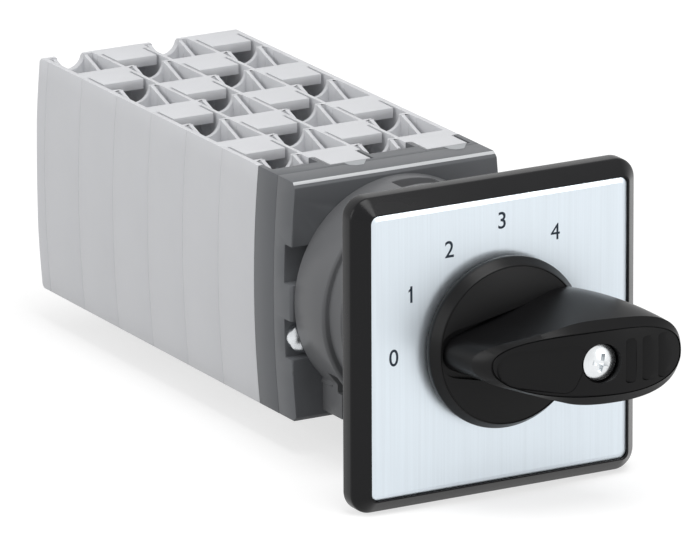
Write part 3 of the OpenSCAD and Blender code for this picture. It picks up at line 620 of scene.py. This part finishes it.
tie_places = solids_of("tie_screws")
bm = bmesh.new()
for low, high in tie_places:
    middle = (low + high) / 2 / MM
    front = low.y / MM
    head = cross_head(
        head_r=2.8, head_t=TIE_HEAD_T, cross_reach=1.8, cross_w=0.8, cross_d=1.3, turn=20)
    add_shank(head, high.y / MM - front - TIE_HEAD_T, tip_length=0.6, tip_r=0.9)
    start = len(bm.verts)
    bm.from_mesh(head.data)
    bm.verts.ensure_lookup_table()
    bmesh.ops.translate(
        bm, verts=bm.verts[start:],
        vec=(middle.x * MM, (front + TIE_HEAD_T) * MM, middle.z * MM))
    bpy.data.objects.remove(head)
screws = make_piece(bm, "tie_screws_dressed", "base", zinc, sharp=32)
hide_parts("tie_screws")
dressed("tie_nuts", brass, STAMPED_ROUNDING)

# Collar: the round neck between panel and body, dark grey plastic, with its release catch and foot.
# Two screws inside hold it to the latch.
COLLAR_GREY = srgb(107, 108, 110)
COLLAR_ROUNDING = 0.2
SCREW_ROUNDING = 0.15
collar_plastic = moulded("collar_plastic", COLLAR_GREY, roughness=0.36, grain=0.15, sheen_level=0.12)
dressed("collar_adapter", collar_plastic, COLLAR_ROUNDING)
dressed("adapter_screws", zinc, SCREW_ROUNDING)

# Mounting bush: black plastic with a coarse thread, for the panel hole. The slotted ring nut pulls
# the front frame and its rubber gasket against the panel.
BUSH_BLACK = srgb(48, 49, 52)
RUBBER_BLACK = srgb(34, 34, 35)
BUSH_BORE_R = 6.15
BUSH_CORE = 10.5
BUSH_THREAD = 11.0
BUSH_CHAMFER = 0.4
BUSH_STEPS = 96
FLANGE_BACK = -0.2
THREAD_PITCH = 1.5
THREAD_Y = (0.4, 16.0)
THREAD_RUN_OUT = (0.1, 0.5)
THREAD_ROOT_R = BUSH_CORE - 0.1
THREAD_CREST_R = BUSH_THREAD - 0.06
THREAD_FORM = ((THREAD_ROOT_R, 0), (THREAD_CREST_R, 0.6), (THREAD_CREST_R, 0.8), (THREAD_ROOT_R, 1.4))
THREAD_STEPS_PER_TURN = 72
KEY_W = 3.2
KEY_DEPTH = 1.2
KEY_Y = (0.4, 9)
GASKET_ROUNDING = 0.25
low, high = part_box("mounting_bush")
bm = bmesh.new()
spun(bm, [
    (BUSH_BORE_R, low.y / MM), (high.x / MM, low.y / MM), (high.x / MM, FLANGE_BACK),
    (BUSH_THREAD, FLANGE_BACK), (BUSH_THREAD, 0.0), (BUSH_CORE, THREAD_Y[0]),
    (BUSH_CORE, THREAD_Y[1] + THREAD_RUN_OUT[0]), (BUSH_THREAD, THREAD_Y[1] + THREAD_RUN_OUT[1]),
    (BUSH_THREAD, high.y / MM - BUSH_CHAMFER), (BUSH_THREAD - BUSH_CHAMFER, high.y / MM),
    (BUSH_BORE_R, high.y / MM)], BUSH_STEPS)
bush = as_tool(bm, "bush")
thread = bmesh.new()
turns_of_thread = (THREAD_Y[1] - THREAD_Y[0] - THREAD_PITCH) / THREAD_PITCH
corners = [thread.verts.new((radius * MM, (THREAD_Y[0] + y) * MM, 0)) for radius, y in THREAD_FORM]
section = thread.faces.new(corners)
thread_steps = round(turns_of_thread * THREAD_STEPS_PER_TURN)
bmesh.ops.spin(
    thread, geom=corners + thread.edges[:] + [section], cent=(0, 0, 0), axis=(0, 1, 0),
    dvec=(0, turns_of_thread * THREAD_PITCH * MM / thread_steps, 0),
    angle=2 * math.pi * turns_of_thread, steps=thread_steps, use_merge=False)
combine(bush, as_tool(thread, "thread"), "UNION")
keyway = box_mesh(
    (-KEY_W / 2, KEY_Y[0], -BUSH_THREAD - CUT_PAST), (KEY_W / 2, KEY_Y[1], KEY_DEPTH - BUSH_THREAD))
combine(bush, as_tool(keyway, "keyway"), "DIFFERENCE")
bm = bmesh.new()
bm.from_mesh(bush.data)
bpy.data.objects.remove(bush)
bush_plastic = moulded("bush_plastic", BUSH_BLACK, roughness=0.4, grain=0.15, sheen_level=0.25)
bush = make_piece(bm, "mounting_bush_dressed", "base", bush_plastic)
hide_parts("mounting_bush")
dressed("ring_nut", collar_plastic, COLLAR_ROUNDING)
rubber = moulded(
    "black_rubber", RUBBER_BLACK, roughness=0.75, grain=0.5, sheen_level=0.2, mottle=0.08)
dressed("panel_gasket", rubber, GASKET_ROUNDING)

# Shaft: square drawn steel that joins handle, star and cams. The carrier on its front end is cast,
# turns in the bush and holds a rubber ring against splashes.
DRAWN_GREY = srgb(178, 180, 184)
CAST_GREY = srgb(160, 161, 162)
SHAFT_ROUNDING = 0.1
CARRIER_ROUNDING = 0.15
SEAL_ROUNDING = 0.05
drawn_steel = metal("drawn_steel", DRAWN_GREY, roughness=0.3, scale=1500, stretch=(1, 0.02, 1))
cast_zinc = metal("cast_zinc", CAST_GREY, roughness=0.45, scale=500)
dressed("drive_shaft", drawn_steel, SHAFT_ROUNDING)
dressed("handle_carrier", cast_zinc, CARRIER_ROUNDING)
dressed("shaft_seal", rubber, SEAL_ROUNDING)

# Bezel: the square front frame, moulded in glossy black. It holds the plate inside a thin lip, whose
# edges are sharper than the outer ones.
BEZEL_BLACK = srgb(16, 16, 18)
BEZEL_ROUNDING = 0.3
LIP_ROUNDING = 0.06
LIP_MARGIN = 0.4
bezel_plastic = moulded("bezel_plastic", BEZEL_BLACK, roughness=0.26, grain=0.05, sheen_level=0.2)
plate_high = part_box("legend_plate")[1]
lip_end = plate_high.x + LIP_MARGIN * MM


def from_middle(vert):
    """How far a corner of the square frame lies from its middle, along X or along Z."""
    return max(abs(vert.co.x), abs(vert.co.z))


bm = cad_copy("bezel_frame")
round_edges(
    bm, BEZEL_ROUNDING, segments=3,
    chosen=lambda edge: any(from_middle(vert) > lip_end for vert in edge.verts))
round_edges(
    bm, LIP_ROUNDING, segments=1, angle=60,
    chosen=lambda edge: all(from_middle(vert) < lip_end for vert in edge.verts))
bezel = make_piece(bm, "bezel_frame_dressed", "base", bezel_plastic)
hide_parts("bezel_frame")

# Legend plate: aluminium, brushed up and down and anodised, with a bevelled edge. It is let into the
# bezel.
PLATE_LIGHT = srgb(222, 231, 238)
PLATE_BEVEL = 0.9
PLATE_BEVEL_DROP = 0.22
PLATE_SKIN = 0.1
WALL_ACROSS = 0.1
WALL_ALONG = 0.5
plate_metal = metal(
    "brushed_aluminium", PLATE_LIGHT, roughness=0.35, scale=2600, stretch=(1, 1, 0.01), spread=0.03,
    detail=4.0, unevenness=0.05)
skin = plate_metal.node_tree.nodes["Principled BSDF"]
skin.inputs["Metallic"].default_value = 0.85
skin.inputs["Anisotropic"].default_value = 0.5
low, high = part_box("legend_plate")


def is_wall(face):
    """Whether a face of the plate stands across it. A face without an area doesn't."""
    return face.normal.xz.length > WALL_ACROSS and abs(face.normal.y) < WALL_ALONG


bm = cad_copy("legend_plate")
front = [face for face in bm.faces if all(vert.co.y < low.y + PLATE_SKIN * MM for vert in face.verts)]
bmesh.ops.inset_region(bm, faces=front, thickness=PLATE_BEVEL * MM, use_even_offset=True)
for vert in bm.verts:
    at_front = vert.co.y < low.y + PLATE_SKIN * MM
    at_outer_edge = vert.co.xz.length > high.x / 2 and any(is_wall(face) for face in vert.link_faces)
    if at_front and at_outer_edge:
        vert.co.y += PLATE_BEVEL_DROP * MM
bm.normal_update()
plate = make_piece(bm, "legend_plate_dressed", "base", plate_metal, sharp=8)
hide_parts("legend_plate")

# Numerals: the five positions, printed in dark slate ink on the plate, round the handle's base.
# Each has its middle at a place of X and Z on the plate.
INK = srgb(46, 56, 68)
NUMERAL_PLACES = {
    "0": (-22.4, -0.4),
    "1": (-18.7, 11.1),
    "2": (-10.7, 18.5),
    "3": (0.4, 22.4),
    "4": (11.7, 18.6),
}
NUMERAL_HEIGHT = 3.1
NUMERAL_NARROWING = 0.93
STROKE_SPREAD = 0.03
INK_THICKNESS = 0.01
FONT_CAPITAL_SHARE = 0.69
FLAG_CORNERS = ((0, 1.55), (0, 1.05), (-0.62, 0.62), (-0.62, 0.98))
ink = moulded("printing_ink", INK, roughness=0.6, grain=0.1, sheen_level=0.2)
for numeral, (x, z) in NUMERAL_PLACES.items():
    text = bpy.data.curves.new("numeral_" + numeral, "FONT")
    text.body = numeral
    text.size = NUMERAL_HEIGHT / FONT_CAPITAL_SHARE * MM
    text.offset = 0 if numeral == "4" else STROKE_SPREAD * MM
    text.align_x = "CENTER"
    text.align_y = "CENTER"
    text.extrude = INK_THICKNESS * MM
    writing = bpy.data.objects.new("numeral_" + numeral + "_curve", text)
    scene.collection.objects.link(writing)
    bm = bmesh.new()
    bm.from_mesh(finished_mesh(writing))
    bpy.data.objects.remove(writing)
    if numeral == "1":
        plate_mesh(
            bm, [(flag_x * MM, flag_y * MM, -text.extrude) for flag_x, flag_y in FLAG_CORNERS],
            2 * text.extrude)
        bmesh.ops.recalc_face_normals(bm, faces=bm.faces)
    move = Matrix.Translation((x * MM, low.y - INK_THICKNESS * MM, z * MM))
    stand_up = Matrix.Rotation(math.radians(90), 4, "X")
    narrow = Matrix.Diagonal((NUMERAL_NARROWING, 1, 1, 1))
    bmesh.ops.transform(bm, verts=bm.verts, matrix=move @ stand_up @ narrow)
    make_piece(bm, "numeral_" + numeral, "base", ink)

# Handle base: satin black moulding, a bevelled rim round a domed face, with a recess for the grip.
# Depths are along Y and negative in front of the panel.
HANDLE_BLACK = srgb(14, 14, 15)
BASE_R = 16.3
BASE_BACK = -6.3
RIM_TAPER = 0.6
RIM_WIDTH = 1.3
RIM_DEPTH = 2.0
RIM_Y = -10.3
RIM_FORM = ((0, 1), (0.04, 0.9), (0.12, 0.82), (0.84, 0.12), (0.92, 0.04), (1, 0))
FACE_R = 14.8
FACE_RISE = 1.1
FACE_SINK = 0.1
FACE_POINTS = 14
SEAM = 0.12
RECESS_Y = -9.8
handle_plastic = moulded("handle_plastic", HANDLE_BLACK, roughness=0.34, grain=0.12, sheen_level=0.18)
rim = [(BASE_R - RIM_WIDTH * inwards, RIM_Y + RIM_DEPTH * backwards) for inwards, backwards in RIM_FORM]
dome = [
    (r, RIM_Y + FACE_SINK - FACE_RISE * (1 - (r / FACE_R) ** 2))
    for r in np.linspace(FACE_R, AXIS_R, FACE_POINTS)
]
bm = bmesh.new()
spun(bm, [
    (AXIS_R, BASE_BACK), (BASE_R - RIM_TAPER, BASE_BACK), (BASE_R, BASE_BACK - 2 * RIM_TAPER), *rim,
    (FACE_R + 1.2 * SEAM, RIM_Y), (FACE_R + 0.8 * SEAM, RIM_Y + 2 * SEAM),
    (FACE_R, RIM_Y + 2 * SEAM), *dome])
handle = as_tool(bm, "handle_dressed")

# The recess runs round the grip's root, inside the rim. Outlines of the handle are bands round
# circles, and each circle is a place of X and Z and a radius.
GRIP_CENTRE = 5.0
GRIP_POINTS = 200
RECESS_CIRCLES = ((-10.7, 0, 4.7), (12, 0, 9.3))
RECESS_MARGIN = 0.05
DIRECTION_STEP = 0.5
LEAST_FACING = 0.02
OUT_OF_REACH = 1e3
turns = np.radians(np.arange(0, 360, DIRECTION_STEP))
around = np.linspace(0, 2 * math.pi, GRIP_POINTS, endpoint=False)


def support(circles):
    """How far a band round circles reaches in each direction."""
    return np.max([x * np.cos(turns) + z * np.sin(turns) + radius for x, z, radius in circles], axis=0)


def reach(supports, centre=GRIP_CENTRE):
    """Distance from the centre to the edge of each outline, in the bearings of the grip's points."""
    gap = supports - centre * np.cos(turns)
    facing = np.cos(turns[None, :] - around[:, None])
    along = gap / np.maximum(facing, LEAST_FACING)
    return np.min(np.where(facing > LEAST_FACING, along, OUT_OF_REACH), axis=1)


def ring_edges(bm, points):
    """A closed ring of edges through the points."""
    made = bmesh.ops.create_circle(bm, cap_ends=False, segments=len(points), radius=1)["verts"]
    for vert, point in zip(made, points):
        vert.co = Vector(point) * MM
    return list({edge for vert in made for edge in vert.link_edges})


def loft(bm, rings):
    """Skins a row of rings, each with as many points, and caps both ends."""
    edges = [ring_edges(bm, list(zip(*ring))) for ring in rings]
    for first, second in zip(edges, edges[1:]):
        bmesh.ops.bridge_loops(bm, edges=first + second)
    bmesh.ops.contextual_create(bm, geom=edges[0])
    bmesh.ops.contextual_create(bm, geom=edges[-1])
    bmesh.ops.recalc_face_normals(bm, faces=bm.faces)


recess = np.minimum(
    reach(support(RECESS_CIRCLES)), reach(np.full(len(turns), FACE_R - RECESS_MARGIN)))
bm = bmesh.new()
loft(bm, [
    (GRIP_CENTRE + recess * np.cos(around), np.full(GRIP_POINTS, y), recess * np.sin(around))
    for y in (RECESS_Y, RIM_Y - 2 * CUT_PAST)])
combine(handle, as_tool(bm, "recess"), "DIFFERENCE")

# Grip: lofted from a drop-shaped root over a fuller belly to an egg-shaped crown that is arched along
# it. The crown has a chamfered border with a fine line inside it, and is slightly domed across.
ROOT_CIRCLES = ((-10.9, 0, 3.5), (10, 0, 9.4))
BELLY_CIRCLES = ((-8.4, 0, 3.55), (14.2, 0, 10.1))
CROWN_R = 42.15
CROWN_X = 15.75
CROWN_FRONT = -29.5
CROWN_NOSE = 9.5
CROWN_TAIL = 26.2
CROSS_DOME = 0.35
ROOT_Y = -9.4
GRIP_TOP_Y = -30.5
GRIP_BELLY = 10.5
GRIP_HALF_W = 7.4
TAIL_BLUNTNESS = 2.5
NOSE_BLUNTNESS = 2.3
GRIP_LEVELS = 22
SETTLING_ROUNDS = 7
BORDER_DROP = 0.8
LINE_WIDTH = 0.35
LINE_DEPTH = 0.3
INNER_NOSE = 10.3
INNER_TAIL = 25.1
INNER_HALF_W = 6.3
INNER_DROP = 0.06


def egg_support(nose, tail, half_w):
    """How far the egg-shaped crown reaches in each direction."""
    tailwards = np.cos(turns) > 0
    length = np.where(tailwards, tail - GRIP_BELLY, GRIP_BELLY + nose)
    bluntness = np.where(tailwards, TAIL_BLUNTNESS, NOSE_BLUNTNESS)
    power = bluntness / (bluntness - 1)
    spread = np.abs(length * np.cos(turns)) ** power + np.abs(half_w * np.sin(turns)) ** power
    return GRIP_BELLY * np.cos(turns) + spread ** (1 / power)


def crown_y(x, z, drop=0.0):
    """Depth of the arched crown over a place on the grip."""
    arch = CROWN_FRONT + CROWN_R - np.sqrt((CROWN_R - drop) ** 2 - (x - CROWN_X) ** 2)
    return arch + CROSS_DOME * (z / INNER_HALF_W) ** 2


root_outline = support(ROOT_CIRCLES)
belly_outline = support(BELLY_CIRCLES)
crown_outline = egg_support(CROWN_NOSE, CROWN_TAIL, GRIP_HALF_W)


def grip_ring(share):
    """Points round the grip at a share of the way from its root to its crown.

    Each point's depth and its outline depend on each other, so both are settled in a few rounds.
    """
    y = np.full(GRIP_POINTS, ROOT_Y)
    for _ in range(SETTLING_ROUNDS):
        rise = np.clip((y - ROOT_Y) / (GRIP_TOP_Y - ROOT_Y), 0, 1)
        rise = rise[:, None]
        outlines = (
            (1 - rise) ** 2 * root_outline
            + 2 * rise * (1 - rise) * belly_outline
            + rise ** 2 * crown_outline)
        distance = reach(outlines)
        x = GRIP_CENTRE + distance * np.cos(around)
        z = distance * np.sin(around)
        y = ROOT_Y + share * (crown_y(x, z, BORDER_DROP) - ROOT_Y)
    return x, y, z


inner = reach(egg_support(INNER_NOSE, INNER_TAIL, INNER_HALF_W))


def crown_ring(distance, drop):
    """Points on the crown at a distance round the grip's centre, sunk by a drop."""
    x = GRIP_CENTRE + distance * np.cos(around)
    z = distance * np.sin(around)
    return x, crown_y(x, z) + drop, z


rings = [grip_ring(share) for share in np.linspace(0, 1, GRIP_LEVELS)]
for inset, drop in (
        (0.0, 0.0), (0.3 * LINE_WIDTH, LINE_DEPTH), (0.7 * LINE_WIDTH, LINE_DEPTH),
        (LINE_WIDTH, INNER_DROP)):
    rings.append(crown_ring(inner - inset, drop))
for share in (0.9, 0.8, 0.65, 0.5, 0.35, 0.2, 0.08):
    rings.append(crown_ring(inner * share, INNER_DROP))
bm = bmesh.new()
loft(bm, rings)
combine(handle, as_tool(bm, "grip"), "UNION")

# The sunk pointer panel is deepest at the pointer and runs out towards the screw.
PANEL_CIRCLES = ((-5.9, -0.6, 3.5), (3.2, 1.4, 2.4), (1.5, -2.9, 2.3))
PANEL_CENTRE = -1.4
PANEL_DEPTH = 0.55
PANEL_LEAST_SHARE = 0.25
PANEL_END = 5.5
PANEL_START = -9.4
PANEL_LIFT = 2.0
panel = reach(support(PANEL_CIRCLES), PANEL_CENTRE)


def panel_ring(share, lift=None):
    """Points round the panel at a share of its reach, on its floor or a lift in front of it."""
    x = PANEL_CENTRE + panel * share * np.cos(around)
    z = panel * share * np.sin(around)
    slope = np.clip((PANEL_END - x) / (PANEL_END - PANEL_START), PANEL_LEAST_SHARE, 1)
    sink = PANEL_DEPTH * slope + INNER_DROP
    return x, crown_y(x, z) + (sink if lift is None else -lift), z


bm = bmesh.new()
loft(bm, [panel_ring(1.0, PANEL_LIFT)] + [panel_ring(share) for share in (1.0, 0.85, 0.6, 0.35, 0.1)])
combine(handle, as_tool(bm, "panel"), "DIFFERENCE")

# The thumb scoop is a crescent that follows the pointer's nose.
SCOOP_PLACE = (-11.7, -22.6, 1.0)
SCOOP_SIZE = (1.15, 1.5, 3.4)
SCOOP_BEND_R = 4.5
bm = bmesh.new()
bmesh.ops.create_icosphere(bm, subdivisions=4, radius=MM, matrix=Matrix.Diagonal((*SCOOP_SIZE, 1)))
for vert in bm.verts:
    vert.co.x += vert.co.z ** 2 / (2 * SCOOP_BEND_R * MM)
bmesh.ops.translate(bm, verts=bm.verts, vec=Vector(SCOOP_PLACE) * MM)
combine(handle, as_tool(bm, "scoop"), "DIFFERENCE")

# The counterbore takes the screw's head.
low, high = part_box("handle_screw")
SCREW_X = (low.x + high.x) / 2 / MM
HEAD_R = (high.x - low.x) / 2 / MM
HEAD_FRONT = low.y / MM
HEAD_T = 2.2
BORE_PLAY = 0.75
BORE_CUT = 10
bore_r = (HEAD_R + BORE_PLAY) * MM
move = Matrix.Translation((SCREW_X * MM, (HEAD_FRONT + HEAD_T - BORE_CUT / 2) * MM, 0))
bm = bmesh.new()
bmesh.ops.create_cone(
    bm, cap_ends=True, segments=72, radius1=bore_r, radius2=bore_r, depth=BORE_CUT * MM,
    matrix=move @ Matrix.Rotation(math.radians(90), 4, "X"))
combine(handle, as_tool(bm, "counterbore"), "DIFFERENCE")

# Three finger grooves with rounded corners ramp up towards the tail.
GROOVES = 3
GROOVE_X = 12.9
GROOVE_PITCH = 3.48
GROOVE_W = 2.2
GROOVE_Z = (-4.35, 4.1)
GROOVE_DEPTH = 0.95
GROOVE_END_DEPTH = 0.1
GROOVE_CORNER_R = 0.75
GROOVE_CUT = 4
for number in range(GROOVES):
    left = GROOVE_X + number * GROOVE_PITCH
    floor_y = float(crown_y(left, 0)) + GROOVE_DEPTH
    bm = box_mesh((left, floor_y - GROOVE_CUT, GROOVE_Z[0]), (left + GROOVE_W, floor_y, GROOVE_Z[1]))
    uprights = [
        edge for edge in bm.edges
        if abs(edge.verts[0].co.y - edge.verts[1].co.y) > GROOVE_CUT / 2 * MM
    ]
    bmesh.ops.bevel(
        bm, geom=uprights, offset=GROOVE_CORNER_R * MM, offset_type="OFFSET", segments=5, profile=0.5,
        affect="EDGES", clamp_overlap=False, material=-1)
    for vert in bm.verts:
        if vert.co.y > (floor_y - GROOVE_CUT / 2) * MM:
            vert.co.y -= (GROOVE_DEPTH - GROOVE_END_DEPTH) * (vert.co.x - left * MM) / GROOVE_W
    combine(handle, as_tool(bm, "groove"), "DIFFERENCE")

bm = bmesh.new()
bm.from_mesh(handle.data)
bpy.data.objects.remove(handle)
handle = make_piece(bm, "handle_dressed", "rotor", handle_plastic, sharp=32)
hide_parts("handle")

# Handle screw: bright zinc-plated steel with a domed head and a deep cross recess. It goes down to
# the carrier and holds the handle on.
POLISHED_ZINC = srgb(226, 229, 231)
HEAD_SPREAD = 0.4
bright_zinc = metal("polished_zinc_plating", POLISHED_ZINC, roughness=0.26, scale=500, spread=0.05)
head = cross_head(
    head_r=HEAD_R + HEAD_SPREAD, head_t=HEAD_T, cross_reach=HEAD_R, cross_w=1.1, cross_d=1.0, turn=12)
add_shank(head, high.y / MM - HEAD_FRONT - HEAD_T, tip_length=0.5, tip_r=1.0)
bm = bmesh.new()
bm.from_mesh(head.data)
bpy.data.objects.remove(head)
bmesh.ops.translate(bm, verts=bm.verts, vec=(SCREW_X * MM, (HEAD_FRONT + HEAD_T) * MM, 0))
screw = make_piece(bm, "handle_screw_dressed", "rotor", bright_zinc, sharp=25)
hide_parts("handle_screw")
